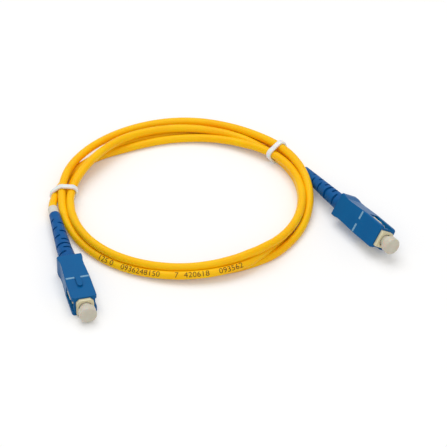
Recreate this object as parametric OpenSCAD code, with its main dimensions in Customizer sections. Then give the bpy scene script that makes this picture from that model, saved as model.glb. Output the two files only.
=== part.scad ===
// Simplex fiber optic patch cord, coiled and tied, with a push-pull plug at each end.
// Millimetres, +Z up, standing plane at Z = 0.
// A plug's own frame: +X points out of its front, +Z is the side with the key, and X = 0 is the
// front end of its grip.

/* [Cord] */
// Diameter of the cord's jacket
cord_d = 3.0; // [2.8:0.05:3.0]
// Diameter of the buffered fiber inside the cord
buffer_d = 0.9; // [0.6:0.05:0.95]
// Sides of the swept tube
cord_sides = 8; // [8:1:12]

/* [Coil] */
// Centre of the coil, X
coil_x = -13.4; // [-14:0.2:-13]
// Centre of the coil, Y
coil_y = 26.85; // [26.25:0.2:27.45]
// Inner radius of the coil's bundle
coil_inner_r = 39; // [37:0.5:40]
// Outer radius of the coil's bundle
coil_outer_r = 46.8; // [45:0.2:47]
// Height of the coil's bundle
coil_h = 6; // [5:0.25:7]
// Rounding of the bundle's edges
coil_edge_r = 1.5; // [0.5:0.25:2]

/* [Ties] */
// Width of a tie's band
tie_w = 1.7; // [1:0.1:3]
// Thickness of a tie's band
tie_t = 0.8; // [0.5:0.1:1.2]
// Angle of the left tie round the coil
tie_left_angle = 175; // [172:1:178]
// Angle of the right tie round the coil
tie_right_angle = 39.5; // [36:0.5:44]
// How far the left tie reaches past the bundle, to hold the tail of plug A
tie_left_extra = 2.8; // [2.6:0.1:3.2]
// Length of the marker band behind boot A
marker_l = 4; // [3:0.25:4.5]
// Wall of the marker band
marker_wall = 0.3; // [0.2:0.05:0.6]

/* [Grip] */
// Length of the grip
grip_l = 25; // [24.5:0.25:27]
// Width of the grip, across its slotted sides
grip_w = 9; // [8.9:0.05:9.4]
// Height of the grip, from plain face to key face
grip_h = 7.4; // [7.3:0.05:7.8]
// Rounding of the grip's long edges
grip_edge_r = 0.6; // [0.2:0.1:0.8]
// Rounding of the grip's front corners
grip_nose_r = 1.2; // [0.5:0.1:1.5]
// How far each side is drawn in at the waist
waist_depth = 0.5; // [0.2:0.05:0.6]
// Distance of the middle of the waist from the grip's rear end
waist_from_rear = 5; // [4:0.25:6]
// Length of the waist
waist_l = 2.5; // [2:0.25:3]
// Length of the rear lip
lip_l = 1.5; // [1:0.25:2]
// Width of the key
key_w = 1.9; // [1.5:0.1:2.5]
// Height of the key
key_h = 0.7; // [0.4:0.1:1]
// Front end of the key, behind the grip's front
key_front = 6; // [5.5:0.25:7.5]
// Length of the key
key_l = 5.5; // [4:0.25:6]
// Length of the latch slots
slot_l = 8.5; // [7:0.25:9]
// Height of the latch slots
slot_h = 4.2; // [3:0.1:4.5]
// Bridge in front of a latch slot
slot_bridge = 1.2; // [0.8:0.1:1.4]
// How far that bridge is sunk into the side, so that a latch can ride over it
bridge_sink = 0.75; // [0.5:0.05:0.8]
// How far the grip slides back to unlatch
grip_travel = 2; // [1.5:0.1:2]

/* [Plug frame] */
// Width of the plug frame
frame_w = 6.1; // [6:0.05:6.3]
// Height of the plug frame
frame_h = 6; // [5.9:0.05:6.1]
// Corners cut off on the key side
frame_chamfer = 1.1; // [0.8:0.1:1.3]
// How far the frame stands out of the grip
frame_out = 1.3; // [1:0.1:1.6]
// Length of the plug frame
frame_l = 21.9; // [21.5:0.1:22.1]
// Diameter of the front bore
front_bore_d = 4.75; // [4.65:0.05:4.8]
// Depth of the front bore
front_bore_l = 6; // [5.8:0.1:6.2]
// Bore of the lip that stops the ferrule's collar
stop_bore_d = 3.4; // [3:0.1:3.6]
// Thickness of that lip
stop_lip = 0.8; // [0.6:0.1:1]
// Diameter of the rear chamber
chamber_d = 4.9; // [4.85:0.05:5.0]
// Height of the latch shoulders on the frame's sides
shoulder_h = 0.6; // [0.4:0.05:0.8]
// Length of the latch shoulders
shoulder_l = 1.4; // [1:0.1:2]
// Width of the latch shoulders
shoulder_w = 2.1; // [1.5:0.1:2.5]

/* [Ferrule] */
// Diameter of the ferrule
ferrule_d = 2.5; // [2.4:0.05:2.5]
// Length of the ferrule
ferrule_l = 10.5; // [10.2:0.1:11]
// Bevel round the ferrule's tip
ferrule_bevel = 0.3; // [0.1:0.05:0.4]
// How far the ferrule stands out of the plug frame
ferrule_out = 1; // [0.5:0.1:1.5]
// Width of the ferrule's collar across its flats
collar_w = 4.1; // [3.9:0.05:4.15]
// Length of the collar
collar_l = 2.4; // [2:0.1:3]
// Outer diameter of the sleeve behind the collar
sleeve_d = 2.6; // [2.5:0.05:2.7]
// Length of that sleeve
sleeve_l = 11.5; // [11:0.25:12]
// How far the ferrule gives way
ferrule_travel = 1.5; // [1:0.1:1.5]
// Wire of the spring
spring_wire = 0.5; // [0.3:0.05:0.55]
// Mean diameter of the spring
spring_mean_d = 3.7; // [3.6:0.05:3.8]
// Turns of the spring
spring_turns = 6; // [4:0.5:8]
// Length of the spring in its chamber
spring_l = 6.8; // [6:0.2:7.2]

/* [Rear end] */
// Diameter of the rim behind the plug frame
rim_d = 5.6; // [5.2:0.1:5.9]
// Thickness of that rim
rim_l = 1; // [0.6:0.1:1.2]
// Outer diameter of the crimp barrel
barrel_d = 3.6; // [3.4:0.05:3.65]
// Length of the crimp barrel
barrel_l = 6; // [5:0.25:6.5]
// Thickness of the yarn laid over the barrel
yarn_t = 0.28; // [0.2:0.02:0.3]
// Wall of the crimp sleeve
crimp_wall = 0.4; // [0.25:0.05:0.4]
// Wall of the crimp sleeve's narrow end
crimp_neck_wall = 0.33; // [0.25:0.02:0.35]
// Length of the crimp sleeve's narrow end
crimp_neck_l = 4.1; // [3:0.1:4.2]
// Length of the taper between the sleeve's two ends
crimp_taper_l = 0.5; // [0.3:0.1:0.6]

/* [Boot] */
// Diameter of the boot at the grip
boot_d = 6; // [5.9:0.05:6.05]
// Diameter of the boot at its tail
boot_tail_d = 3.95; // [3.8:0.05:4.2]
// How far the boot reaches behind the grip
boot_l = 29.4; // [27:0.2:31]
// Length of the boot's straight front end
boot_straight_l = 5.3; // [5:0.1:6]
// Pitch of the boot's slots
boot_slot_pitch = 2.6; // [2.4:0.1:3]
// Turn of the slots about the boot's axis
boot_slot_turn = 55; // [40:5:70]
// Width of a boot's slot
boot_slot_w = 0.9; // [0.6:0.1:1.2]
// Wall left under a boot's slot
boot_slot_floor = 0.15; // [0.1:0.05:0.2]
// Wall of the boot's neck, the ring slot in which it can bend
boot_neck_wall = 0.45; // [0.35:0.05:0.6]

/* [Dust cap] */
// Diameter of the cap's head
cap_head_d = 6.2; // [5.8:0.1:6.6]
// Length of the cap's head
cap_head_l = 2.7; // [2:0.1:3.2]
// Rounding of the head's front edge
cap_edge_r = 0.5; // [0.2:0.1:0.8]
// Diameter of the cap's body
cap_body_d = 4.3; // [4:0.05:4.4]
// Length of the cap's body
cap_body_l = 6.4; // [5.5:0.1:6.6]
// Front end of the cap, in front of the grip
cap_front = 6; // [5.8:0.1:6.5]
// Room inside the cap in front of the ferrule
cap_room = 0.7; // [0.4:0.1:1]

/* [Lay] */
// Front of plug A, X
plug_a_x = -47.55; // [-47.95:0.1:-47.15]
// Front of plug A, Y
plug_a_y = -38.25; // [-38.65:0.1:-37.85]
// Heading of plug A in the plane, from +X
plug_a_heading = -75; // [-76:0.5:-74]
// Front of plug B, X
plug_b_x = 57.05; // [56.65:0.1:57.45]
// Front of plug B, Y
plug_b_y = -3.2; // [-3.6:0.1:-2.8]
// Heading of plug B in the plane, from +X
plug_b_heading = -58; // [-59:0.5:-57]
// Rise of plug B towards its front
plug_b_rise = 1.5; // [1:0.25:2]
// Roll of plug B from key-up
plug_b_roll = 124.5; // [120:0.5:126]
// Bend of boot A at its neck
boot_a_bend = 2.6; // [2:0.1:3.2]
// Direction of that bend: 0 is straight down, 90 is towards the coil
boot_a_turn = 90; // [84:1:96]
// Bend of boot B at its neck
boot_b_bend = 9.4; // [9:0.1:9.8]
// Direction of that bend: 0 is straight down, 90 is away from the coil
boot_b_turn = 44; // [41:1:47]

/* [Hidden] */
$fn = 48;

// Clearances
slide_gap = 0.1;      // grip round its frame and round the boot's front end
running_gap = 0.03;   // round parts that slide in each other
seat_gap = 0.02;      // parts that are pressed or glued together
rest_gap = 0.05;      // end faces that only come to rest on each other
loose_gap = 0.1;      // cord in the boot, and what passes a bore freely
tie_gap = 0.05;       // tie round its bundle
floor_gap = 0.05;     // plug B and the ties over the standing plane
step_gap = 0.4;       // between a step in a bore and the end face it clears
crimp_end_gap = 0.3;  // between the crimp barrel and the step in its sleeve
pocket_gap = 0.3;     // coil round the tail of boot B
boot_bend_gap = 0.05; // by which the bore is wider in the bend of boot B
over = 0.5;           // how far a cutting body runs past a face

// Facets
round_steps = 6;      // along a rounded corner
spring_steps = 14;    // along one turn of the spring
spring_sides = 6;     // round its wire

// Stations along a plug, X in the plug's frame
frame_front = frame_out;
frame_rear = frame_front - frame_l;
stop_front = frame_front - front_bore_l;
chamber_front = stop_front - stop_lip;
collar_front = chamber_front - rest_gap;
collar_rear = collar_front - collar_l;
ferrule_tip = frame_front + ferrule_out;
ferrule_rear = ferrule_tip - ferrule_l;
sleeve_rear = collar_rear - sleeve_l;
spring_front = collar_rear - rest_gap;
spring_rear = spring_front - spring_l;
rear_body_front = spring_rear - rest_gap;
rim_rear = frame_rear - rim_l;
barrel_rear = rim_rear - barrel_l;
crimp_front = rim_rear - rest_gap;
crimp_step = barrel_rear - crimp_end_gap;
crimp_narrow = crimp_step - step_gap - crimp_taper_l;
crimp_rear = crimp_step - crimp_neck_l;
jacket_end = crimp_step - seat_gap;
core_rear = barrel_rear + ferrule_travel;
boot_front = crimp_front - step_gap;
boot_tail = -grip_l - boot_l;
boot_taper_from = boot_front - boot_straight_l;
boot_bend = boot_taper_from - 2.5 * boot_slot_pitch + boot_slot_w / 2;
boot_tail_l = boot_bend - boot_slot_w - boot_tail;
cap_head_rear = cap_front - cap_head_l;
cap_rear = cap_head_rear - cap_body_l;
grip_hole_front = frame_rear - step_gap;

// Radii
ferrule_r = ferrule_d / 2;
cord_r = cord_d / 2;
sleeve_r = sleeve_d / 2;
buffer_r = buffer_d / 2;
barrel_bore_r = sleeve_r + running_gap;
yarn_r = barrel_d / 2 + yarn_t;
crimp_r = yarn_r + seat_gap + crimp_wall;
crimp_neck_r = cord_r + seat_gap + crimp_neck_wall;
boot_bore_r = cord_r + loose_gap;
boot_neck_r = boot_bore_r + boot_neck_wall;
boot_r = boot_d / 2;
boot_tail_r = boot_tail_d / 2;

// Routes of the two tails between their boot and the coil
route_a = [
    [-61.8, 21, 3.6], [-61.5, 25, 3.2], [-60.8, 29, 2.9], [-59.8, 33, 2.7],
    [-58.4, 37, 2.6], [-56.6, 41, 2.6], [-54.3, 45, 2.6]
];
tail_b_reach = 2.5;   // how far tail B runs on behind its boot, into the coil

// ---------------------------------------------------------------- places

module at_plug_a() {
    translate([plug_a_x, plug_a_y, grip_h / 2]) rotate([0, 0, plug_a_heading]) children();
}

// Plug B lies on an edge of its rear lip
plug_b_half = (grip_w / 2 - grip_edge_r) * sin(plug_b_roll)
    - (grip_h / 2 - grip_edge_r) * cos(plug_b_roll) + grip_edge_r;
plug_b_z = plug_b_half + grip_l * sin(plug_b_rise) + floor_gap;

module at_plug_b() {
    translate([plug_b_x, plug_b_y, plug_b_z])
        rotate([0, -plug_b_rise, plug_b_heading]) children();
}

module at_plug_b_rolled() {
    at_plug_b() rotate([-plug_b_roll, 0, 0]) children();
}

function heading(a) = [cos(a), sin(a), 0];
function axis_a(x) = [plug_a_x, plug_a_y, grip_h / 2] + x * heading(plug_a_heading);
dir_b = [cos(plug_b_rise) * cos(plug_b_heading), cos(plug_b_rise) * sin(plug_b_heading),
    sin(plug_b_rise)];
function axis_b(x) = [plug_b_x, plug_b_y, plug_b_z] + x * dir_b;
dir_a = heading(plug_a_heading);

// A boot bends square to its axis, in a direction that turn gives
function bend_way(dir, turn) = let(side = unit(cross([0, 0, 1], dir)))
    sin(turn) * side - cos(turn) * cross(dir, side);
function bend_radius(bend) = boot_slot_w / (bend * PI / 180);
// Point on the bend that starts at p, once it has turned through angle a
function on_bend(p, dir, way, bend, a) = p + bend_radius(bend) * ((1 - cos(a)) * way - sin(a) * dir);
// Point of the boot's straight tail, s behind that bend
function on_tail(p, dir, way, bend, s) = on_bend(p, dir, way, bend, bend)
    + s * (sin(bend) * way - cos(bend) * dir);
// Centre of the cord through a boot: its bend and its tail, run on by more
function through_boot(p, dir, turn, bend, more) = let(way = bend_way(dir, turn)) concat(
    [for (a = [0:bend / 2:bend]) on_bend(p, dir, way, bend, a)],
    [for (s = [boot_tail_l / 2, boot_tail_l, boot_tail_l + more]) on_tail(p, dir, way, bend, s)]
);

// ---------------------------------------------------------------- helpers

module rod_x(r, x0, x1) {
    translate([x0, 0, 0]) rotate([0, 90, 0]) cylinder(r = r, h = x1 - x0);
}

// Solid of revolution about X, from points [x, radius]
module lathe_x(points) {
    rotate([0, 90, 0]) rotate_extrude() polygon([for (p = points) [p[1], p[0]]]);
}

// Section in Y and Z, extruded from x0 to x1
module prism_x(x0, x1) {
    translate([x0, 0, 0]) rotate([90, 0, 90]) linear_extrude(height = x1 - x0) children();
}

module rounded_rect(w, h, r) {
    square([w - 2 * r, h], center = true);
    square([w, h - 2 * r], center = true);
    for (sx = [-1, 1]) {
        for (sy = [-1, 1]) {
            translate([sx * (w / 2 - r), sy * (h / 2 - r)]) circle(r = r);
        }
    }
}

function arc(c, r, a0, a1, n) = [for (i = [0:n]) let(a = a0 + (a1 - a0) * i / n)
    c + r * [cos(a), sin(a)]];

function unit(v) = v / norm(v);

// Tube of constant radius along points, with flat ends
module swept_tube(points, r, sides) {
    n = len(points);
    function tangent(i) = unit(i == 0 ? points[1] - points[0]
        : i == n - 1 ? points[n - 1] - points[n - 2]
        : unit(points[i + 1] - points[i]) + unit(points[i] - points[i - 1]));
    function side(i) = unit(cross(tangent(i), [0, 0, 1]));
    rings = [for (i = [0:n - 1]) let(t = tangent(i), s = side(i), u = cross(s, t))
        for (k = [0:sides - 1]) let(a = 360 * (k + 0.5) / sides)
            points[i] + r * (cos(a) * s + sin(a) * u)];
    walls = [for (i = [0:n - 2]) for (k = [0:sides - 1])
        let(a = i * sides + k, b = i * sides + (k + 1) % sides)
        each [[a, b, b + sides], [a, b + sides, a + sides]]];
    caps = [[for (k = [sides - 1:-1:0]) k], [for (k = [0:sides - 1]) (n - 1) * sides + k]];
    polyhedron(points = rings, faces = concat(walls, caps), convexity = 6);
}

// ---------------------------------------------------------------- cord

module coil_section() {
    translate([(coil_inner_r + coil_outer_r) / 2, coil_h / 2])
        rounded_rect(coil_outer_r - coil_inner_r, coil_h, coil_edge_r);
}

// Band round the bundle; extra widens it outwards and grow clears its groove
module tie_band(angle, extra, grow) {
    inner_w = coil_outer_r - coil_inner_r - 2 * tie_t + extra;
    inner_h = coil_h - tie_t + rest_gap;
    mid_r = coil_inner_r + tie_t + inner_w / 2;
    mid_z = tie_t + inner_h / 2 + floor_gap;
    translate([coil_x, coil_y, 0]) rotate([0, 0, angle]) translate([mid_r, 0, mid_z])
        rotate([90, 0, 0])
        linear_extrude(height = tie_w + 2 * grow, center = true)
        difference() {
            rounded_rect(inner_w + 2 * (tie_t + grow), inner_h + 2 * (tie_t + grow), coil_edge_r + tie_t);
            rounded_rect(inner_w - 2 * grow, inner_h - 2 * grow, coil_edge_r);
        }
}

module boot_b_pocket() {
    end = -boot_tail_l - pocket_gap;
    at_plug_b() behind_bend(boot_b_bend, boot_b_turn)
        lathe_x([
            [end, 0], [0, 0], [0, boot_outer_r(boot_bend) + pocket_gap], [end, boot_tail_r + pocket_gap]
        ]);
}

module cord_coil() {
    color([0.96, 0.68, 0.08])
    difference() {
        translate([coil_x, coil_y, 0]) rotate_extrude() coil_section();
        tie_band(tie_left_angle, tie_left_extra, tie_gap);
        tie_band(tie_right_angle, 0, tie_gap);
        boot_b_pocket();
    }
}

module cord_tail_a() {
    color([0.96, 0.68, 0.08])
    swept_tube(
        concat(
            [axis_a(jacket_end)],
            through_boot(axis_a(boot_bend), dir_a, boot_a_turn, boot_a_bend, marker_l),
            route_a),
        cord_r, cord_sides);
}

module cord_tail_b() {
    color([0.96, 0.68, 0.08])
    swept_tube(
        concat(
            [axis_b(jacket_end)],
            through_boot(axis_b(boot_bend), dir_b, boot_b_turn, boot_b_bend, tail_b_reach)),
        cord_r, cord_sides);
}

module tie_left() {
    color([0.93, 0.94, 0.93]) tie_band(tie_left_angle, tie_left_extra, 0);
}

module tie_right() {
    color([0.93, 0.94, 0.93]) tie_band(tie_right_angle, 0, 0);
}

module marker_band() {
    inner = cord_r + seat_gap;
    color([0.92, 0.90, 0.86]) at_plug_a() behind_bend(boot_a_bend, boot_a_turn) difference() {
        rod_x(inner + marker_wall, -boot_tail_l - rest_gap - marker_l, -boot_tail_l - rest_gap);
        rod_x(inner, -boot_tail_l - marker_l - over, -boot_tail_l + over);
    }
}

// ---------------------------------------------------------------- pieces of a plug

module frame_outline(grow) {
    w = frame_w / 2 + grow;
    h = frame_h / 2 + grow;
    c = frame_chamfer + grow * (2 - sqrt(2));
    polygon([[-w, -h], [w, -h], [w, h - c], [w - c, h], [-w + c, h], [-w, h - c]]);
}

// Outline of the grip seen from its key side
module grip_plan() {
    w = grip_w / 2;
    waist_x = -grip_l + waist_from_rear;
    nose = arc([-grip_nose_r, w - grip_nose_r], grip_nose_r, 0, 90, round_steps);
    back = [
        [-slot_bridge - slot_l, w],
        [waist_x + waist_l / 2, w - waist_depth],
        [waist_x - waist_l / 2, w - waist_depth],
        [-grip_l + lip_l, w],
        [-grip_l, w]
    ];
    side = concat(nose, back);
    polygon(concat(side, [for (i = [len(side) - 1:-1:0]) [side[i][0], -side[i][1]]]));
}

// What is cut from both sides: the latch slots, and the sunk way to them from the front
module latch_plan() {
    translate([-slot_bridge - slot_l, -grip_w]) square([slot_l, 2 * grip_w]);
    for (s = [-1, 1]) {
        translate([-slot_bridge - over, s * (grip_w - bridge_sink) - grip_w / 2])
            square([slot_bridge + 2 * over, grip_w]);
    }
}

module grip() {
    difference() {
        union() {
            intersection() {
                translate([0, 0, -grip_h]) linear_extrude(height = 2 * grip_h) grip_plan();
                prism_x(-grip_l, 0) rounded_rect(grip_w, grip_h, grip_edge_r);
            }
            key();
        }
        prism_x(grip_hole_front, over) frame_outline(slide_gap);
        rod_x(boot_r + slide_gap, -grip_l - over, grip_hole_front + over);
        linear_extrude(height = slot_h, center = true) latch_plan();
    }
}

module key() {
    rear = -key_front - key_l;
    base = grip_h / 2 - grip_edge_r;
    translate([rear, -key_w / 2, base]) cube([key_l - key_w / 2, key_w, grip_edge_r + key_h]);
    translate([-key_front - key_w / 2, 0, base]) cylinder(d = key_w, h = grip_edge_r + key_h);
}

module plug_frame() {
    shoulder_front = -slot_bridge - grip_travel - slide_gap;
    difference() {
        union() {
            prism_x(frame_rear, frame_front) frame_outline(0);
            translate([shoulder_front - shoulder_l, -frame_w / 2 - shoulder_h, -shoulder_w / 2])
                cube([shoulder_l, frame_w + 2 * shoulder_h, shoulder_w]);
        }
        rod_x(front_bore_d / 2, stop_front, frame_front + over);
        rod_x(stop_bore_d / 2, chamber_front - over, frame_front);
        rod_x(chamber_d / 2, frame_rear - over, chamber_front);
    }
}

module ferrule() {
    lathe_x([
        [ferrule_rear, 0], [ferrule_tip, 0], [ferrule_tip, ferrule_r - ferrule_bevel],
        [ferrule_tip - ferrule_bevel, ferrule_r], [ferrule_rear, ferrule_r]
    ]);
}

module ferrule_flange() {
    difference() {
        union() {
            translate([collar_rear, 0, 0]) rotate([0, 90, 0])
                cylinder(d = collar_w / cos(30), h = collar_l, $fn = 6);
            rod_x(sleeve_r, sleeve_rear, collar_rear + over);
        }
        rod_x(ferrule_r + seat_gap, ferrule_rear - rest_gap, collar_front + over);
        rod_x(buffer_r + loose_gap / 2, sleeve_rear - over, ferrule_rear + over);
    }
}

module spring() {
    n = spring_turns * spring_steps;
    r = spring_mean_d / 2;
    pitch_l = spring_l - spring_wire;
    swept_tube([for (i = [0:n]) let(a = 360 * i / spring_steps)
        [spring_front - spring_wire / 2 - pitch_l * i / n, r * cos(a), r * sin(a)]],
        spring_wire / 2, spring_sides);
}

module fiber_core() {
    rod_x(buffer_r, core_rear, ferrule_rear - rest_gap);
}

module rear_body() {
    plug_r = chamber_d / 2 - seat_gap;
    lathe_x([
        [rear_body_front, barrel_bore_r], [rear_body_front, plug_r],
        [frame_rear - seat_gap, plug_r], [frame_rear - seat_gap, rim_d / 2],
        [rim_rear, rim_d / 2], [rim_rear, barrel_d / 2],
        [barrel_rear, barrel_d / 2], [barrel_rear, barrel_bore_r]
    ]);
}

module aramid_yarn() {
    bore = (barrel_d + seat_gap) / 2;
    front = crimp_front - crimp_end_gap;
    lathe_x([[barrel_rear, bore], [front, bore], [front, yarn_r], [barrel_rear, yarn_r]]);
}

module crimp_sleeve() {
    bore = yarn_r + seat_gap;
    neck_bore = cord_r + seat_gap;
    lathe_x([
        [crimp_front, bore], [crimp_front, crimp_r], [crimp_step - step_gap, crimp_r],
        [crimp_narrow, crimp_neck_r], [crimp_rear, crimp_neck_r],
        [crimp_rear, neck_bore], [crimp_step, neck_bore], [crimp_step, bore]
    ]);
}

function boot_outer_r(x) = x > boot_taper_from ? boot_r
    : boot_r + (boot_tail_r - boot_r) * (boot_taper_from - x) / (boot_taper_from - boot_tail);

// Slot across the boot at x, on the two sides that turn names
module boot_slot(x, turn) {
    floor_r = boot_bore_r + boot_slot_floor;
    rotate([turn + boot_slot_turn, 0, 0]) for (s = [-1, 1]) {
        translate([x - boot_slot_w / 2, -boot_d, s > 0 ? floor_r : -boot_d - floor_r])
            cube([boot_slot_w, 2 * boot_d, boot_d]);
    }
}

// Puts children, drawn about X with 0 at the front of the tail, behind the bend of a boot
module behind_bend(bend, turn) {
    r = bend_radius(bend);
    rotate([turn, 0, 0]) translate([boot_bend, 0, -r]) rotate([0, -bend, 0])
        translate([0, 0, r]) rotate([-turn, 0, 0]) children();
}

// The bend of a boot, with radius r about its curved axis, run on at both ends
module bend_arc(bend, turn, r, run_on) {
    middle_r = bend_radius(bend);
    more = run_on / middle_r * 180 / PI;
    rotate([turn, 0, 0]) translate([boot_bend, 0, -middle_r]) rotate([90, 0, 0])
        rotate([0, 0, 90 - more]) rotate_extrude(angle = bend + 2 * more)
        translate([middle_r, 0]) circle(r = r);
}

module boot_front_part() {
    difference() {
        lathe_x([
            [boot_bend, boot_bore_r], [boot_bend, boot_outer_r(boot_bend)],
            [boot_taper_from, boot_r], [boot_front, boot_r], [boot_front, boot_bore_r]
        ]);
        rod_x(crimp_r + seat_gap, crimp_narrow, boot_front + over);
        rod_x(crimp_neck_r + seat_gap, crimp_rear - seat_gap, boot_front);
        for (i = [0:1]) {
            boot_slot(boot_taper_from - (i + 0.5) * boot_slot_pitch, i * 90);
        }
    }
}

// The tail, drawn from X = 0 backwards
module boot_tail_part() {
    slots = floor(boot_tail_l / boot_slot_pitch) - 1;
    difference() {
        lathe_x([
            [-boot_tail_l, boot_bore_r], [-boot_tail_l, boot_tail_r],
            [0, boot_outer_r(boot_bend - boot_slot_w)], [0, boot_bore_r]
        ]);
        for (i = [1:slots]) {
            boot_slot(boot_slot_w / 2 - i * boot_slot_pitch, i % 2 * 90);
        }
    }
}

module boot(bend, turn) {
    difference() {
        union() {
            boot_front_part();
            behind_bend(bend, turn) boot_tail_part();
            bend_arc(bend, turn, boot_neck_r, over / 2);
        }
        bend_arc(bend, turn, boot_bore_r + boot_bend_gap, over);
    }
}

module dust_cap() {
    bore = ferrule_r + running_gap;
    e = cap_edge_r;
    head_r = cap_head_d / 2;
    bore_end = ferrule_tip + cap_room;
    lathe_x(concat(
        [[cap_rear, bore], [bore_end, bore], [bore_end, 0], [cap_front, 0]],
        arc([cap_front - e, head_r - e], e, 0, 90, round_steps),
        [[cap_head_rear, head_r], [cap_head_rear, cap_body_d / 2], [cap_rear, cap_body_d / 2]]
    ));
}

// ---------------------------------------------------------------- plug A

module grip_a() { color([0.12, 0.39, 0.63]) at_plug_a() grip(); }
module plug_frame_a() { color([0.90, 0.84, 0.70]) at_plug_a() plug_frame(); }
module ferrule_a() { color([0.97, 0.97, 0.95]) at_plug_a() ferrule(); }
module ferrule_flange_a() { color([0.75, 0.75, 0.77]) at_plug_a() ferrule_flange(); }
module spring_a() { color([0.70, 0.71, 0.73]) at_plug_a() spring(); }
module fiber_core_a() { color([0.95, 0.95, 0.90]) at_plug_a() fiber_core(); }
module rear_body_a() { color([0.78, 0.77, 0.72]) at_plug_a() rear_body(); }
module aramid_yarn_a() { color([0.93, 0.85, 0.35]) at_plug_a() aramid_yarn(); }
module crimp_sleeve_a() { color([0.80, 0.80, 0.80]) at_plug_a() crimp_sleeve(); }
module boot_a() { color([0.10, 0.36, 0.62]) at_plug_a() boot(boot_a_bend, boot_a_turn); }
module dust_cap_a() { color([0.80, 0.78, 0.72]) at_plug_a() dust_cap(); }

// ---------------------------------------------------------------- plug B

module grip_b() { color([0.12, 0.39, 0.63]) at_plug_b_rolled() grip(); }
module plug_frame_b() { color([0.90, 0.84, 0.70]) at_plug_b_rolled() plug_frame(); }
module ferrule_b() { color([0.97, 0.97, 0.95]) at_plug_b_rolled() ferrule(); }
module ferrule_flange_b() { color([0.75, 0.75, 0.77]) at_plug_b_rolled() ferrule_flange(); }
module spring_b() { color([0.70, 0.71, 0.73]) at_plug_b_rolled() spring(); }
module fiber_core_b() { color([0.95, 0.95, 0.90]) at_plug_b_rolled() fiber_core(); }
module rear_body_b() { color([0.78, 0.77, 0.72]) at_plug_b_rolled() rear_body(); }
module aramid_yarn_b() { color([0.93, 0.85, 0.35]) at_plug_b_rolled() aramid_yarn(); }
module crimp_sleeve_b() { color([0.80, 0.80, 0.80]) at_plug_b_rolled() crimp_sleeve(); }
module boot_b() { color([0.10, 0.36, 0.62]) at_plug_b() boot(boot_b_bend, boot_b_turn); }
module dust_cap_b() { color([0.80, 0.78, 0.72]) at_plug_b_rolled() dust_cap(); }

cord_coil();
cord_tail_a();
cord_tail_b();
tie_left();
tie_right();
marker_band();
grip_a();
plug_frame_a();
ferrule_a();
ferrule_flange_a();
spring_a();
fiber_core_a();
rear_body_a();
aramid_yarn_a();
crimp_sleeve_a();
boot_a();
dust_cap_a();
grip_b();
plug_frame_b();
ferrule_b();
ferrule_flange_b();
spring_b();
fiber_core_b();
rear_body_b();
aramid_yarn_b();
crimp_sleeve_b();
boot_b();
dust_cap_b();
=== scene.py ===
import math

import bmesh
import bpy
import numpy as np
from bpy.props import FloatProperty, FloatVectorProperty, IntProperty, PointerProperty
from mathutils import Matrix, Vector
from mathutils.geometry import convex_hull_2d


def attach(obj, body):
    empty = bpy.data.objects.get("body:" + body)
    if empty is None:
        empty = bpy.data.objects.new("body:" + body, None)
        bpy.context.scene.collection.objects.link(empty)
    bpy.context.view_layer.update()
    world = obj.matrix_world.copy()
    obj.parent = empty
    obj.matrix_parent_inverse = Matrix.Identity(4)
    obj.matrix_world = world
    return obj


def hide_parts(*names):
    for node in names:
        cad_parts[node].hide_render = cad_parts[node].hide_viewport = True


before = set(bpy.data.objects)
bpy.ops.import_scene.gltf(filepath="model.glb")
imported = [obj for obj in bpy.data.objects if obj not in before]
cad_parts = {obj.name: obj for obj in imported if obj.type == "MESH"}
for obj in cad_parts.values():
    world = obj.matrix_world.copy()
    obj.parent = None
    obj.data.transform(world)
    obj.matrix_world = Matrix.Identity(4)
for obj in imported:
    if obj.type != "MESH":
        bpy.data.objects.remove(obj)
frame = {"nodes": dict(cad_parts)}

bl_info = {
    "name": "Fiber patch cord dressing",
    "version": (1, 0, 0),
    "blender": (4, 5, 0),
    "location": "View3D > Sidebar > Patch cord",
    "description": "Winds the cord, ties it and gives each moulded part its finish",
    "category": "Object",
}

MM = 0.001
UP = Vector((0, 0, 1))

# Middle of the coil. Round it the cord is wound clockwise, seen from above
COIL_CENTRE = Vector((-13.4, 26.85, 0)) * MM

# How the cord weaves through the bundle: the degrees round the coil, falling by 360 with
# each turn, the lane (counted outwards from near the bundle's inner edge, half a diameter
# each) and the layer (0 lies on the floor, 1 in the grooves of the one below)
WEAVE = [
    # in from tail A, low to the inside, up and out over the front
    (180, 5, 0.5), (150, 3.5, 0), (120, 0, 0), (90, 0, 0), (30, 1.5, 1), (-30, 2, 1),
    (-60, 4, 2), (-90, 3, 1), (-130, 3, 1),
    # over the inside at the left, down under the right tie, out at the lower right
    (-180, 1.5, 1), (-210, -0.5, 2), (-240, 2, 1), (-270, 2, 1), (-330, 2, 0), (-390, 1, 0),
    (-425, 5, 1), (-480, 4, 0), (-510, 3, 0),
    # outermost at the back, over the others by the right tie, then low in the middle
    (-545, 3.5, 1.5), (-570, 4.5, 1), (-630, 5.5, 1), (-660, 4, 1), (-695, 3, 2), (-740, 3.5, 0),
    (-780, 3.5, 0), (-820, 2, 0),
    # beside the first at the back, and out to boot B
    (-900, 2.5, 0), (-940, 1, 1), (-970, 1.5, 0), (-1020, 4, 0), (-1050, 4.5, 0),
    (-1080, 6, 0.5),
]
WEAVE_FROM = WEAVE[0][0]
WEAVE_TO = WEAVE[-1][0]
# Radius of lane 0, height of layer 0, and the steps from lane to lane and layer to layer, in mm
LANE_ZERO = 40
LOWEST = 1.55
LANE = 1.5
LAYER = 2.6
# Where the coil takes over from tail A and hands over to tail B, and its spacing, in degrees
COIL_FROM = 165
COIL_TO = -1050
LAY_STEP = 5
# Passes that round off the corners of the weave, and then rounds in which its turns settle
EASING = 8
ROUNDS = 150
# The distance in mm that two strands are pushed to, and how strongly in each round: back to
# their place, off each other, and against a kink
CLEAR = 3.0
HOLD = 0.08
SHOVE = 0.35
STIFF = 0.3
# Points added between two points of the route, and the passes that smooth them
FINE = 8
SMOOTHING = 12

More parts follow.
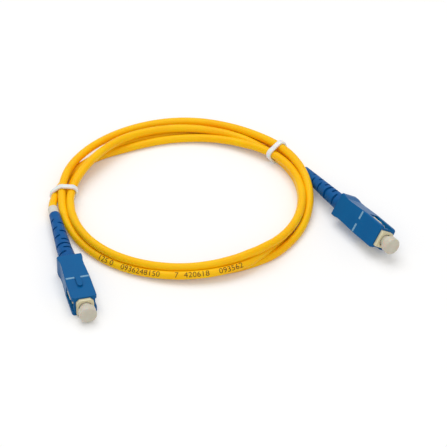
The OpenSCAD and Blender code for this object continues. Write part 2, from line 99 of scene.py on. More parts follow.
# Each plug's own frame: X along the plug with 0 at the grip's front, Z towards its key
PLUG = {
    "a": Matrix.Translation(Vector((-47.55, -38.25, 3.7)) * MM)
    @ Matrix.Rotation(math.radians(-75), 4, "Z"),
    "b": Matrix.Translation(Vector((57.05, -3.2, 6.2744)) * MM)
    @ Matrix.Rotation(math.radians(-58), 4, "Z")
    @ Matrix.Rotation(math.radians(-1.5), 4, "Y")
    @ Matrix.Rotation(math.radians(-124.5), 4, "X"),
}
GRIP_HALF = 3.7 * MM

# The cord in a boot, in mm from the grip's front: where the jacket ends, where the bend
# starts, how long the bend is and how long the boot's tail behind it
JACKET_END = -27.92
BEND_START = -33.5
BEND_LENGTH = 0.9
TAIL_LENGTH = 20
# Each boot's bend and the turn of its direction about the plug's axis, in degrees, the points
# along its tail, and how far the cord runs straight on behind it in mm
BOOT = {"a": (2.6, 90, 4, 4.0), "b": (9.4, 44, 6, 2.5)}
# Where the cord leaves boot A, and the points through which it runs on to the coil, in mm
ROUTE_A = [(-61.8, 21, 3.6), (-61.5, 25, 3.2), (-60.8, 29, 2.9), (-59.8, 33, 2.7)]

# Angles in the coil at which the ties sit, and at which each group of digits starts
TIES = {"tie_left": 178.0, "tie_right": 39.5}
MARKS = [
    (-131.0, "125 0"), (-118.0, "0936248150"), (-94.5, "7"), (-90.5, "420618"),
    (-76.0, "093562"),
]
# Between a tie and the strands or the floor, and how far out a tie looks for strands
TIE_GAP = 0.05 * MM
BUNDLE_REACH = 55 * MM
# Points on the outline of a strand that a tie is shaped round
OUTLINE = 24
# How far print stands off its surface, and the cuts that let a digit bend round the jacket
INK_DEPTH = 0.015 * MM
DIGIT_ROWS = 8
# The printed bars, and the rails: the side of the plug they are on, and their form
BAR_X = -11.6 * MM
RAIL_SIDE = {"a": 1, "b": -1}
RAIL_RISE = 1.25 * MM
RAIL_HEIGHT = 1.5 * MM
RAIL_ROUND = 0.25 * MM
SMOOTH_BELOW = math.radians(50)

# Drawn lines round the jacket
LINES_ROUND = 60
# Sockets of a Mix node that carry colours
FIRST = 6
SECOND = 7
MIXED = 2

# The point that the camera looks at
AIM = Vector((0.315, 14.662, 0)) * MM
FLOOR_SIZE = 6
# The lamps' places and sizes, in metres
LAMPS = {"key": ((-0.1, 0.28, 0.93), 0.9), "fill": ((0.1, -0.75, 0.6), 0.8)}


def srgb(code):
    """Linear colour of an sRGB hex value."""
    steps = [int(code[i:i + 2], 16) / 255 for i in (0, 2, 4)]
    return tuple(s / 12.92 if s < 0.04045 else ((s + 0.055) / 1.055) ** 2.4 for s in steps)


def colour(name, about, code):
    return FloatVectorProperty(
        name=name, description=about, subtype="COLOR", size=3, min=0, max=1,
        default=srgb(code))


def length(name, about, mm):
    return FloatProperty(
        name=name, description=about, default=mm * MM, unit="LENGTH", subtype="DISTANCE")


# ---------------------------------------------------------------- settings


class CordSettings(bpy.types.PropertyGroup):
    diameter: length("Cord diameter", "Outer diameter of the jacket", 3.0)
    step: length("Ring spacing", "Distance between two rings of the jacket's mesh", 1.1)
    sides: IntProperty(
        name="Sides", description="Faces round the jacket", default=24, min=12, max=48)
    jacket: colour("Jacket", "Colour of the extruded jacket", "FFC804")
    ink: colour("Ink", "Colour of the printed length marks", "6E420F")
    mark_height: length("Mark height", "Size of the digits printed on the jacket", 2.9)
    mark_turn: FloatProperty(
        name="Mark turn", description="Where on the jacket the digits are, from its top",
        default=math.radians(50), subtype="ANGLE")


class TieSettings(bpy.types.PropertyGroup):
    width: length("Tie width", "Width of the band along the bundle", 2.0)
    thickness: length("Tie thickness", "Thickness of the band", 0.85)
    floor_thickness: length("Underside", "Thickness of the band where it is squeezed", 0.35)
    band: colour("Band", "Colour of the soft plastic band", "EEF0F0")


class PlugSettings(bpy.types.PropertyGroup):
    housing: colour("Housing", "Colour of the grip", "005E98")
    boot: colour("Boot", "Colour of the rubber boot", "00599A")
    frame: colour("Frame", "Colour of the plug frame inside the grip", "E8DFBC")
    cap: colour("Cap", "Colour of the dust cap", "D0CABA")
    mark: colour("Mark", "Colour of the printed bars on the grip", "7FA9C4")
    bar_length: length("Bar length", "Length of a printed bar along the plug", 0.85)
    bar_inner: length("Bar inner end", "From the plug's middle to a bar's inner end", 1.0)
    bar_outer: length("Bar outer end", "From the plug's middle to a bar's outer end", 4.1)
    rail_x: length("Rail place", "Middle of a rail, from the grip's front", -6.0)
    rail_length: length("Rail length", "Length of a rail along the plug", 5.0)
    rail_inner: length("Rail foot", "From the plug's middle to a rail's foot", 2.95)
    rail_outer: length("Rail top", "From the plug's middle to a rail's top", 4.35)


class StageSettings(bpy.types.PropertyGroup):
    distance: length("Camera distance", "From the camera to the point it looks at", 935)
    elevation: FloatProperty(
        name="Camera elevation", description="Angle of view down from the horizon",
        default=math.radians(36.21), subtype="ANGLE")
    lens: FloatProperty(
        name="Lens", description="Focal length for a 36 mm wide sensor",
        default=207.79, subtype="DISTANCE_CAMERA")
    key: FloatProperty(name="Key lamp", description="Power of the upper lamp", default=5.1)
    fill: FloatProperty(name="Fill lamp", description="Power of the front lamp", default=1.9)
    sky: FloatProperty(name="Room light", description="Level of the room's light", default=0.52)


# ---------------------------------------------------------------- helpers


def start():
    """Nothing selected and no mode left open, so that an operator acts on the new piece."""
    if bpy.context.object and bpy.context.object.mode != "OBJECT":
        bpy.ops.object.mode_set(mode="OBJECT")
    bpy.ops.object.select_all(action="DESELECT")


def place(piece, matrix):
    """Moves a finished mesh by a matrix, its object staying at the origin."""
    piece.data.transform(matrix)
    piece.data.update()


def block(middle, size, edge, segments):
    """Adds a box with bevelled edges."""
    start()
    bpy.ops.mesh.primitive_cube_add(size=1, location=middle, scale=size)
    bpy.ops.object.transform_apply(location=True, rotation=True, scale=True)
    bpy.ops.object.mode_set(mode="EDIT")
    bpy.ops.mesh.select_all(action="SELECT")
    bpy.ops.mesh.bevel(offset=edge, segments=segments)
    bpy.ops.object.mode_set(mode="OBJECT")
    return bpy.context.object


def join(pieces):
    """Joins pieces into the first, which is left selected."""
    start()
    for piece in pieces:
        piece.select_set(True)
    bpy.context.view_layer.objects.active = pieces[0]
    bpy.ops.object.join()


def settle(name, body, look):
    """Names the selected piece, applies its place and lets it ride on its body."""
    piece = bpy.context.object
    bpy.ops.object.transform_apply(location=True, rotation=True, scale=True)
    piece.name = name
    piece.data.name = name
    piece.data.materials.clear()
    piece.data.materials.append(look)
    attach(piece, body)


def mesh_piece(name, bm, body, look):
    """A piece from a bmesh."""
    mesh = bpy.data.meshes.new(name)
    bmesh.ops.recalc_face_normals(bm, faces=bm.faces)
    bm.to_mesh(mesh)
    bm.free()
    piece = bpy.data.objects.new(name, mesh)
    bpy.context.collection.objects.link(piece)
    mesh.materials.append(look)
    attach(piece, body)
    return piece


# ---------------------------------------------------------------- finishes


def add(tree, kind, links=(), sets=(), **values):
    """Adds a node: values and sets give its properties and sockets, links join sockets."""
    node = tree.nodes.new(kind)
    for key, value in values.items():
        if hasattr(node, key):
            setattr(node, key, value)
        else:
            node.inputs[key.replace("_", " ")].default_value = value
    for socket, value in dict(sets).items():
        node.inputs[socket].default_value = value
    for socket, source in dict(links).items():
        tree.links.new(source, node.inputs[socket])
    return node


def material(name):
    made = bpy.data.materials.new(name)
    made.use_nodes = True
    tree = made.node_tree
    tree.nodes.clear()
    return made, tree


def moulded(name, base, shade, patch_mm, grain_mm, relief_mm, rough, ior=1.5,
            edge_mm=0.0, sheen=0.3, **extra):
    """A moulded or printed plastic: cloudy colour, fine specks and grain, uneven gloss."""
    made, tree = material(name)
    darker = [c * s for c, s in zip(base, shade)]
    dusty = [c * 0.8 + 0.04 for c in base]
    at = add(tree, "ShaderNodeTexCoord").outputs["Object"]
    cloud = add(tree, "ShaderNodeTexNoise", {"Vector": at}, Scale=1 / (patch_mm * MM),
                Detail=3.0).outputs["Fac"]
    speck = add(tree, "ShaderNodeTexNoise", {"Vector": at}, Scale=1 / (3 * grain_mm * MM),
                Detail=1.0).outputs["Fac"]
    grain = add(tree, "ShaderNodeTexNoise", {"Vector": at}, Scale=1 / (grain_mm * MM),
                Detail=2.0).outputs["Fac"]
    share = add(tree, "ShaderNodeMapRange", {"Value": cloud}, From_Min=0.35, From_Max=0.65)
    tone = add(tree, "ShaderNodeMix", {"Factor": share.outputs[0]},
               {FIRST: (*base, 1), SECOND: (*darker, 1)}, data_type="RGBA")
    spots = add(tree, "ShaderNodeMapRange", {"Value": speck}, From_Min=0.62, From_Max=0.8,
                To_Max=0.3)
    skin = add(tree, "ShaderNodeMix",
               {"Factor": spots.outputs[0], FIRST: tone.outputs[MIXED]},
               {SECOND: (*dusty, 1)}, data_type="RGBA")
    gloss = add(tree, "ShaderNodeMapRange", {"Value": cloud}, From_Min=0.3, From_Max=0.7,
                To_Min=rough - 0.06, To_Max=rough + 0.06)
    bump = add(tree, "ShaderNodeBump", {"Height": grain}, Strength=1.0,
               Distance=relief_mm * MM)
    if edge_mm:
        soft = add(tree, "ShaderNodeBevel", Radius=edge_mm * MM, samples=4)
        tree.links.new(soft.outputs[0], bump.inputs["Normal"])
    shader = add(
        tree, "ShaderNodeBsdfPrincipled",
        {"Base Color": skin.outputs[MIXED], "Roughness": gloss.outputs[0],
         "Normal": bump.outputs[0]},
        IOR=ior, Specular_IOR_Level=sheen, **extra)
    add(tree, "ShaderNodeOutputMaterial", {"Surface": shader.outputs[0]})
    return made


def extruded(name, base, shade, draw_mm, relief_mm, rough):
    """A jacket drawn through a die: fine lines run along it, and its colour is cloudy."""
    made, tree = material(name)
    darker = [c * s for c, s in zip(base, shade)]
    uv = add(tree, "ShaderNodeUVMap", uv_map="along").outputs[0]
    at = add(tree, "ShaderNodeTexCoord").outputs["Object"]
    drawn = add(tree, "ShaderNodeMapping", {"Vector": uv},
                {"Scale": (1 / (draw_mm * MM), LINES_ROUND, 1)})
    lines = add(tree, "ShaderNodeTexNoise", {"Vector": drawn.outputs[0]}, Scale=1.0,
                Detail=2.0).outputs["Fac"]
    cloud = add(tree, "ShaderNodeTexNoise", {"Vector": at}, Scale=1 / (14 * MM),
                Detail=3.0).outputs["Fac"]
    fine = add(tree, "ShaderNodeTexNoise", {"Vector": at}, Scale=1 / (0.35 * MM),
               Detail=2.0).outputs["Fac"]
    share = add(tree, "ShaderNodeMapRange", {"Value": cloud}, From_Min=0.35, From_Max=0.65)
    tone = add(tree, "ShaderNodeMix", {"Factor": share.outputs[0]},
               {FIRST: (*base, 1), SECOND: (*darker, 1)}, data_type="RGBA")
    streak = add(tree, "ShaderNodeMapRange", {"Value": lines}, From_Min=0.55,
                 From_Max=0.75, To_Max=0.35)
    skin = add(tree, "ShaderNodeMix",
               {"Factor": streak.outputs[0], FIRST: tone.outputs[MIXED]},
               {SECOND: (*[c * 0.86 for c in darker], 1)}, data_type="RGBA")
    gloss = add(tree, "ShaderNodeMapRange", {"Value": lines}, From_Min=0.3, From_Max=0.7,
                To_Min=rough - 0.08, To_Max=rough + 0.08)
    height = add(tree, "ShaderNodeMath", {0: lines, 1: fine}, operation="ADD")
    bump = add(tree, "ShaderNodeBump", {"Height": height.outputs[0]}, Strength=1.0,
               Distance=relief_mm * MM)
    shader = add(
        tree, "ShaderNodeBsdfPrincipled",
        {"Base Color": skin.outputs[MIXED], "Roughness": gloss.outputs[0],
         "Normal": bump.outputs[0]},
        IOR=1.5, Specular_IOR_Level=0.16, Subsurface_Weight=0.25,
        Subsurface_Scale=0.002)
    add(tree, "ShaderNodeOutputMaterial", {"Surface": shader.outputs[0]})
    return made


def finish(name):
    """A finish that an earlier operator has made."""
    return bpy.data.materials[name]


def make_finishes(scene):
    cord, tie, plug = scene.patch_cord, scene.patch_tie, scene.patch_plug
    # PVC drawn through a die: satin orange-yellow, fine lines along the cord
    extruded("extruded PVC jacket", cord.jacket, (1.0, 0.88, 0.66), 30, 0.012, 0.38)
    # Ink-jet print: matt brown digits that sit on the jacket
    moulded("jacket ink", cord.ink, (1.25, 1.2, 1.15), 0.8, 0.15, 0.004, 0.65)
    # PBT from a spark-eroded mould: even deep blue, fine grain, soft edges
    moulded("moulded blue PBT", plug.housing, (0.86, 0.92, 0.95), 6, 0.16, 0.007, 0.36,
            edge_mm=0.25, sheen=0.13)
    # Thermoplastic rubber: a duller, slightly cloudier blue than the grip
    moulded("moulded blue rubber", plug.boot, (0.84, 0.88, 0.92), 5, 0.22, 0.012, 0.45,
            edge_mm=0.12, sheen=0.15)
    # Natural PBT: warm cream with a soft sheen
    moulded("moulded cream PBT", plug.frame, (0.94, 0.92, 0.86), 5, 0.2, 0.005, 0.42,
            edge_mm=0.12)
    # Soft polythene: milky grey-beige that lets a little light through
    moulded("moulded polythene cap", plug.cap, (0.93, 0.91, 0.88), 2.5, 0.25, 0.008, 0.36,
            ior=1.51, edge_mm=0.25, Subsurface_Weight=0.25, Subsurface_Scale=0.0015)
    # Soft PVC band: cloudy white, a little shiny, with the cord glowing through
    moulded("soft white band", tie.band, (0.9, 0.92, 0.93), 2, 0.3, 0.012, 0.36,
            edge_mm=0.2, Subsurface_Weight=0.3, Subsurface_Scale=0.001)
    # Polyolefin sleeve shrunk on the cord: off-white, wavy
    moulded("shrunk white sleeve", srgb("DCDAD2"), (0.9, 0.86, 0.8), 1.5, 0.5, 0.02, 0.45,
            edge_mm=0.1)
    # Pad print: thin pale blue ink through which the blue shows in places
    moulded("pad print", plug.mark, (0.7, 0.82, 0.9), 0.6, 0.15, 0.002, 0.5)
    # Ground zirconia: glassy white with the faintest grinding marks
    moulded("ground zirconia", srgb("F2F1EC"), (0.98, 0.98, 0.97), 3, 0.1, 0.001, 0.16,
            ior=2.1)
    # Buffer tube: smooth milky plastic
    moulded("buffer tube", srgb("EFECE0"), (0.96, 0.95, 0.9), 2, 0.2, 0.003, 0.35)
    # Glass-filled body: greyish tan, dull
    moulded("moulded PEI body", srgb("B9AE93"), (0.9, 0.88, 0.84), 4, 0.2, 0.006, 0.42,
            edge_mm=0.1)
    # Aramid yarn: straw-yellow, coarse and matt
    moulded("aramid yarn", srgb("D9BA50"), (0.85, 0.8, 0.6), 1.5, 0.15, 0.03, 0.65)
    # Drawn aluminium: grey metal, softly brushed
    moulded("drawn aluminium sleeve", srgb("C9CBCE"), (0.92, 0.92, 0.92), 3, 0.2, 0.004,
            0.34, Metallic=1.0)
    # Nickel plate on brass: warm bright metal
    moulded("nickel plated brass", srgb("CFCABF"), (0.95, 0.94, 0.92), 3, 0.2, 0.002, 0.25,
            Metallic=1.0)
    # Spring steel: cool grey wire
    moulded("spring steel", srgb("B9BABD"), (0.9, 0.9, 0.9), 3, 0.2, 0.003, 0.3,
            Metallic=1.0)


NODE_FINISH = {
    "marker_band": "shrunk white sleeve",
    "grip": "moulded blue PBT",
    "plug_frame": "moulded cream PBT",
    "ferrule": "ground zirconia",
    "ferrule_flange": "nickel plated brass",
    "spring": "spring steel",
    "fiber_core": "buffer tube",
    "rear_body": "moulded PEI body",
    "aramid_yarn": "aramid yarn",
    "crimp_sleeve": "drawn aluminium sleeve",
    "boot": "moulded blue rubber",
    "dust_cap": "moulded polythene cap",
}


# ---------------------------------------------------------------- cord


def blended(table, at):
    """Smooth value between the rows of a table, at a fraction of rows."""
    i = min(int(at), len(table) - 2)
    t = at - i
    near = [table[min(max(i + k, 0), len(table) - 1)] for k in (-1, 0, 1, 2)]
    return [
        0.5 * (2 * b + (c - a) * t + (2 * a - 5 * b + 4 * c - d) * t * t
               + (3 * b - a - 3 * c + d) * t ** 3)
        for a, b, c, d in zip(*near)]


def wound():
    """Radius and height of the cord's centre, in mm, once its turns have settled."""
    degrees, lanes, layers = (np.array(column) for column in zip(*WEAVE))
    at = np.arange(WEAVE_FROM, WEAVE_TO - 1, -LAY_STEP)
    meant = np.stack([
        np.interp(-at, -degrees, LANE_ZERO + LANE * lanes),
        np.interp(-at, -degrees, LOWEST + LAYER * layers)], axis=1)
    for _ in range(EASING):
        meant[1:-1] = (meant[:-2] + 2 * meant[1:-1] + meant[2:]) / 4
    laid = meant.copy()
    turn = 360 // LAY_STEP
    for _ in range(ROUNDS):
        stray = laid - meant
        move = -HOLD * stray
        move[1:-1] += STIFF * (stray[:-2] - 2 * stray[1:-1] + stray[2:])
        for k in range(turn, len(laid), turn):
            gap = laid[k:] - laid[:-k]
            apart = np.linalg.norm(gap, axis=1, keepdims=True)
            push = SHOVE * np.maximum(0, CLEAR - apart) / apart * gap
            move[k:] += push
            move[:-k] -= push
        laid += move
        laid[:, 1] = np.maximum(laid[:, 1], LOWEST)
    return [tuple(place) for place in laid]


def on_coil(laid, degrees):
    """Centre of the settled cord at an angle, which falls by 360 with each turn."""
    radius, height = blended(laid, (WEAVE_FROM - degrees) / LAY_STEP)
    angle = math.radians(degrees)
    way = Vector((math.cos(angle), math.sin(angle), 0))
    return COIL_CENTRE + (way * radius + Vector((0, 0, height))) * MM


def through_boot(end):
    """Centre points of the cord from inside a plug to just behind its boot."""
    bend, turn, steps, more = BOOT[end]
    bend = math.radians(bend)
    turn = math.radians(turn)
    front = PLUG[end].translation
    ahead = PLUG[end].col[0].xyz
    side = UP.cross(ahead).normalized()
    way = side * math.sin(turn) - ahead.cross(side) * math.cos(turn)
    points = [
        front + ahead * (JACKET_END + (BEND_START - JACKET_END) * k / 3) * MM for k in range(4)]
    radius = BEND_LENGTH / bend * MM
    for angle in (bend / 2, bend):
        points.append(
            points[3] + ((1 - math.cos(angle)) * way - math.sin(angle) * ahead) * radius)
    back = math.sin(bend) * way - math.cos(bend) * ahead
    lengths = [TAIL_LENGTH * k / steps for k in range(1, steps + 1)]
    lengths.append(TAIL_LENGTH + more)
    return points + [points[-1] + back * reach * MM for reach in lengths]


def centreline(step):
    """Evenly spaced centre points of the whole cord, in metres."""
    laid = wound()
    route = through_boot("a") + [Vector(p) * MM for p in ROUTE_A]
    route += [on_coil(laid, a) for a in range(COIL_FROM, COIL_TO - 1, -LAY_STEP)]
    route += reversed(through_boot("b"))
    fine = []
    for i in range(len(route) - 1):
        fine += [Vector(blended(route, i + k / FINE)) for k in range(FINE)]
    fine.append(route[-1])
    for _ in range(SMOOTHING):
        fine = [fine[0]] + [
            (a + 2 * b + c) / 4 for a, b, c in zip(fine, fine[1:], fine[2:])] + [fine[-1]]
    along = [0.0]
    for a, b in zip(fine, fine[1:]):
        along.append(along[-1] + (b - a).length)
    count = round(along[-1] / step)
    points, k = [], 0
    for i in range(count + 1):
        want = along[-1] * i / count
        while k < len(fine) - 2 and along[k + 1] < want:
            k += 1
        t = (want - along[k]) / max(along[k + 1] - along[k], 1e-9)
        points.append(fine[k].lerp(fine[k + 1], t))
    return points


def cord_frames(points):
    """Each point with the side to its left and the way up, both square to the cord."""
    frames = []
    for i, p in enumerate(points):
        a, b = points[max(i - 1, 0)], points[min(i + 1, len(points) - 1)]
        ahead = (b - a).normalized()
        side = UP.cross(ahead).normalized()
        frames.append((p, side, ahead.cross(side)))
    return frames


class PATCHCORD_OT_finishes(bpy.types.Operator):
    """Makes the finishes and gives each moulded part its own"""
    bl_idname = "patch_cord.finishes"
    bl_label = "Finishes"

    def execute(self, context):
        make_finishes(context.scene)
        for name, piece in frame["nodes"].items():
            kind = name if name in NODE_FINISH else name.rsplit("_", 1)[0]
            if kind in NODE_FINISH:
                for slot in piece.material_slots:
                    slot.material = finish(NODE_FINISH[kind])
        return {"FINISHED"}


class PATCHCORD_OT_camera(bpy.types.Operator):
    """Adds the camera and aims it at the middle of the coil and plugs"""
    bl_idname = "patch_cord.camera"
    bl_label = "Camera"

    def execute(self, context):
        stage = context.scene.patch_stage
        e = stage.elevation
        start()
        bpy.ops.object.camera_add(
            location=AIM + stage.distance * Vector((0, -math.cos(e), math.sin(e))),
            rotation=(math.pi / 2 - e, 0, 0))
        camera = context.object
        camera.data.lens = stage.lens
        camera.data.sensor_width = 36
        camera.data.clip_start = 0.01
        camera.data.clip_end = 20
        context.scene.camera = camera
        return {"FINISHED"}


class PATCHCORD_OT_cord(bpy.types.Operator):
    """Winds the jacketed cord from boot to boot as one smooth tube"""
    bl_idname = "patch_cord.cord"
    bl_label = "Cord"

    def execute(self, context):
        cord = context.scene.patch_cord
        points = centreline(cord.step)
        frames = cord_frames(points)
        bm = bmesh.new()
        uv = bm.loops.layers.uv.new("along")
        rings = []
        for p, side, up in frames:
            ring = []
            for k in range(cord.sides):
                turn = 2 * math.pi * k / cord.sides
                out = side * math.sin(turn) + up * math.cos(turn)
                ring.append(bm.verts.new(p + out * cord.diameter / 2))
            rings.append(ring)
        for i, (ring, following) in enumerate(zip(rings, rings[1:])):
            for k in range(cord.sides):
                j = (k + 1) % cord.sides
                face = bm.faces.new((ring[k], ring[j], following[j], following[k]))
                face.smooth = True
                for loop, (u, v) in zip(
                        face.loops, ((i, k), (i, k + 1), (i + 1, k + 1), (i + 1, k))):
                    loop[uv].uv = (u * cord.step, v / cord.sides)
        bm.faces.new(rings[0])
        bm.faces.new(rings[-1])
        piece = mesh_piece("cord", bm, "cord", finish("extruded PVC jacket"))
        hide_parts("cord_coil", "cord_tail_a", "cord_tail_b")
        return {"FINISHED"}


class PATCHCORD_OT_marks(bpy.types.Operator):
    """Prints the row of digits on the cord's second turn, where it lies in front"""
    bl_idname = "patch_cord.marks"
    bl_label = "Length marks"

    def execute(self, context):
        cord = context.scene.patch_cord
        frames = cord_frames(centreline(cord.step))
        laid = wound()
        made = []
        for angle, digits in MARKS:
            at = on_coil(laid, angle - 360)
            first = min(range(len(frames)), key=lambda i: (frames[i][0] - at).length)
            start()
            bpy.ops.object.text_add()
            text = context.object
            text.data.body = digits
            text.data.size = cord.mark_height
            text.data.space_character = 1.02
            text.data.align_y = "CENTER"
            text.data.extrude = INK_DEPTH
            text.data.resolution_u = 3
            bpy.ops.object.convert(target="MESH")
            bpy.ops.object.mode_set(mode="EDIT")
            for k in range(1, DIGIT_ROWS):
                bpy.ops.mesh.select_all(action="SELECT")
                height = (k / DIGIT_ROWS - 0.5) * cord.mark_height
                bpy.ops.mesh.bisect(plane_co=(0, height, 0), plane_no=(0, 1, 0))
            bpy.ops.mesh.select_all(action="SELECT")
            bpy.ops.mesh.remove_doubles(threshold=1e-6)
            bpy.ops.mesh.normals_make_consistent(inside=False)
            bpy.ops.object.mode_set(mode="OBJECT")
            for vertex in context.object.data.vertices:
                back = first - vertex.co.x / cord.step
                i = int(back)
                p, side, up = [
                    a.lerp(b, back - i) for a, b in zip(frames[i], frames[i + 1])]
                turn = cord.mark_turn - vertex.co.y / (cord.diameter / 2)
                out = side * math.sin(turn) + up * math.cos(turn)
                vertex.co = p + out * (cord.diameter / 2 + INK_DEPTH + vertex.co.z)
            made.append(context.object)
        join(made)
        settle("length_marks", "cord", finish("jacket ink"))
        return {"FINISHED"}


class PATCHCORD_OT_ties(bpy.types.Operator):
    """Wraps a soft band round the bundle at each of its two places"""
    bl_idname = "patch_cord.ties"
    bl_label = "Ties"

    def execute(self, context):
        tie, cord = context.scene.patch_tie, context.scene.patch_cord
        points = centreline(cord.step)
        for name, angle in TIES.items():
            turn = math.radians(angle)
            way = Vector((math.cos(turn), math.sin(turn), 0))
            ahead = Vector((-way.y, way.x, 0))
            flat = []
            reach = cord.diameter / 2 + TIE_GAP
            for a, b in zip(points, points[1:]):
                u, v = (a - COIL_CENTRE).dot(ahead), (b - COIL_CENTRE).dot(ahead)
                if u * v > 0 or not 0 < (a - COIL_CENTRE).dot(way) < BUNDLE_REACH:
                    continue
                c = a.lerp(b, u / (u - v)) - COIL_CENTRE
                for k in range(OUTLINE):
                    t = 2 * math.pi * k / OUTLINE
                    flat.append(Vector((c.dot(way) + reach * math.cos(t),
                                        c.z + reach * math.sin(t))))
            ring = [flat[i] for i in convex_hull_2d(flat)]
            start()
            bpy.ops.mesh.primitive_circle_add(vertices=len(ring), radius=0.01)
            piece = context.object
            for vertex, p in zip(piece.data.vertices, ring):
                height = max(p.y, tie.floor_thickness)
                vertex.co = COIL_CENTRE + way * p.x - ahead * tie.width / 2
                vertex.co.z = height
            bpy.ops.object.mode_set(mode="EDIT")
            bpy.ops.mesh.select_all(action="SELECT")
            bpy.ops.mesh.extrude_region_move(
                TRANSFORM_OT_translate={"value": ahead * tie.width})
            bpy.ops.mesh.select_all(action="SELECT")
            bpy.ops.mesh.normals_make_consistent(inside=False)
            bpy.ops.object.mode_set(mode="OBJECT")
            wall = piece.modifiers.new("wall", "SOLIDIFY")
            wall.thickness = tie.thickness
            wall.offset = 1
            edge = piece.modifiers.new("edge", "BEVEL")
            edge.width = 0.3 * tie.thickness
            edge.segments = 3
            edge.limit_method = "ANGLE"
            for modifier in ("wall", "edge"):
                bpy.ops.object.modifier_apply(modifier=modifier)
            for vertex in piece.data.vertices:
                vertex.co.z = max(vertex.co.z, TIE_GAP)
            bpy.ops.object.shade_smooth_by_angle(angle=SMOOTH_BELOW)
            settle(name + "_band", "cord", finish("soft white band"))
            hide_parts(name)
        return {"FINISHED"}


class PATCHCORD_OT_bars(bpy.types.Operator):
    """Prints the pale bars on both wide faces of each grip"""
    bl_idname = "patch_cord.bars"
    bl_label = "Printed bars"

    def execute(self, context):
        plug = context.scene.patch_plug
        width = plug.bar_outer - plug.bar_inner
        middle = (plug.bar_outer + plug.bar_inner) / 2
        for end, matrix in PLUG.items():
            made = []
            for face in (1, -1):
                for side in (1, -1):
                    made.append(block(
                        (BAR_X, side * middle, face * GRIP_HALF),
                        (plug.bar_length, width, 2 * INK_DEPTH), INK_DEPTH / 2, 1))
            join(made)
            place(context.object, matrix)
            settle("grip_%s_bars" % end, "grip_" + end, finish("pad print"))
        return {"FINISHED"}


class PATCHCORD_OT_rails(bpy.types.Operator):
    """Adds the rail of the plug frame that shows in a latch slot of each grip"""
    bl_idname = "patch_cord.rails"
    bl_label = "Frame rails"

    def execute(self, context):
        plug = context.scene.patch_plug
        width = plug.rail_outer - plug.rail_inner
        middle = (plug.rail_inner + plug.rail_outer) / 2
        for end, matrix in PLUG.items():
            made = []
            for side in (1, -1):
                made.append(block(
                    (plug.rail_x, side * middle, RAIL_SIDE[end] * RAIL_RISE),
                    (plug.rail_length, width, RAIL_HEIGHT), RAIL_ROUND, 3))
            join(made)
            bpy.ops.object.shade_smooth_by_angle(angle=SMOOTH_BELOW)
            place(context.object, matrix)
            settle("frame_%s_rails" % end, "cord",
                   finish("moulded cream PBT"))
        return {"FINISHED"}


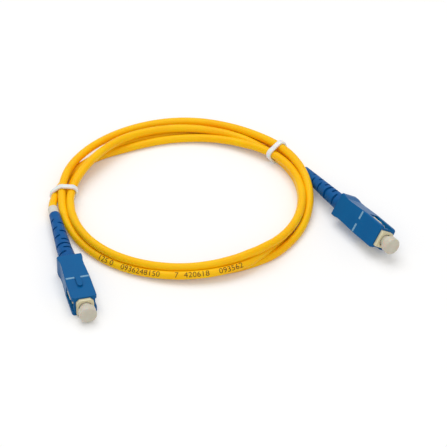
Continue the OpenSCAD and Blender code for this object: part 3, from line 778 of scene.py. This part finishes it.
class PATCHCORD_OT_stage(bpy.types.Operator):
    """Sets the pale floor, the soft lamps and the view's colours"""
    bl_idname = "patch_cord.stage"
    bl_label = "Stage"

    def execute(self, context):
        scene = context.scene
        stage = scene.patch_stage
        start()
        bpy.ops.mesh.primitive_plane_add(size=FLOOR_SIZE, location=(0, 0, 0))
        floor = context.object
        floor.name = "floor"
        made, tree = material("matt white paper")
        path = add(tree, "ShaderNodeLightPath").outputs
        at = add(tree, "ShaderNodeTexCoord").outputs["Object"]
        cloud = add(tree, "ShaderNodeTexNoise", {"Vector": at}, Scale=1 / (60 * MM))
        white = add(tree, "ShaderNodeMix", {"Factor": cloud.outputs["Fac"]},
                    {FIRST: (*srgb("F0F0F0"), 1), SECOND: (*srgb("EEEDEC"), 1)},
                    data_type="RGBA")
        paper = add(tree, "ShaderNodeBsdfDiffuse", {"Color": white.outputs[MIXED]})
        glow = add(tree, "ShaderNodeEmission", Color=(1, 1, 1, 1), Strength=0.14)
        dark = add(tree, "ShaderNodeEmission", Color=(0, 0, 0, 1), Strength=0.0)
        shine = add(tree, "ShaderNodeMath",
                    {0: path["Is Glossy Ray"], 1: path["Is Transmission Ray"]},
                    operation="MAXIMUM")
        seen = add(tree, "ShaderNodeMath",
                   {0: path["Is Camera Ray"], 1: shine.outputs[0]}, operation="MAXIMUM")
        pick = add(tree, "ShaderNodeMixShader",
                   {"Fac": seen.outputs[0], 1: dark.outputs[0], 2: glow.outputs[0]})
        both = add(tree, "ShaderNodeAddShader", {0: paper.outputs[0], 1: pick.outputs[0]})
        add(tree, "ShaderNodeOutputMaterial", {"Surface": both.outputs[0]})
        floor.data.materials.append(made)
        for name, (where, size) in LAMPS.items():
            start()
            bpy.ops.object.light_add(type="AREA", location=where)
            lamp = context.object
            lamp.name = name
            lamp.data.size = size
            lamp.data.energy = getattr(stage, name)
            lamp.rotation_euler = (-Vector(where)).to_track_quat("-Z", "Y").to_euler()
        world = bpy.data.worlds.new("studio")
        world.use_nodes = True
        sky = world.node_tree.nodes["Background"]
        sky.inputs["Color"].default_value = (1, 1, 1, 1)
        sky.inputs["Strength"].default_value = stage.sky
        scene.world = world
        scene.view_settings.view_transform = "Standard"
        return {"FINISHED"}


class PATCHCORD_PT_panel(bpy.types.Panel):
    """Steps and settings of the patch cord"""
    bl_label = "Patch cord"
    bl_idname = "PATCHCORD_PT_panel"
    bl_space_type = "VIEW_3D"
    bl_region_type = "UI"
    bl_category = "Patch cord"

    def draw(self, context):
        for group in SETTINGS:
            settings = getattr(context.scene, group)
            for name in settings.bl_rna.properties.keys():
                if name not in ("rna_type", "name"):
                    self.layout.prop(settings, name)
        for step in STEPS:
            self.layout.operator(step.bl_idname)


SETTINGS = {
    "patch_cord": CordSettings,
    "patch_tie": TieSettings,
    "patch_plug": PlugSettings,
    "patch_stage": StageSettings,
}
STEPS = [
    PATCHCORD_OT_camera,
    PATCHCORD_OT_finishes,
    PATCHCORD_OT_cord,
    PATCHCORD_OT_marks,
    PATCHCORD_OT_ties,
    PATCHCORD_OT_bars,
    PATCHCORD_OT_rails,
    PATCHCORD_OT_stage,
]


def register():
    for made in (*SETTINGS.values(), *STEPS, PATCHCORD_PT_panel):
        bpy.utils.register_class(made)
    for name, group in SETTINGS.items():
        setattr(bpy.types.Scene, name, PointerProperty(type=group))


def unregister():
    for name in SETTINGS:
        delattr(bpy.types.Scene, name)
    for made in reversed((*SETTINGS.values(), *STEPS, PATCHCORD_PT_panel)):
        bpy.utils.unregister_class(made)


def main():
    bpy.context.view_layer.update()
    register()
    bpy.ops.patch_cord.camera()
    bpy.ops.patch_cord.finishes()
    bpy.ops.patch_cord.cord()
    bpy.ops.patch_cord.marks()
    bpy.ops.patch_cord.ties()
    bpy.ops.patch_cord.bars()
    bpy.ops.patch_cord.rails()
    bpy.ops.patch_cord.stage()


if __name__ == "__main__":
    main()
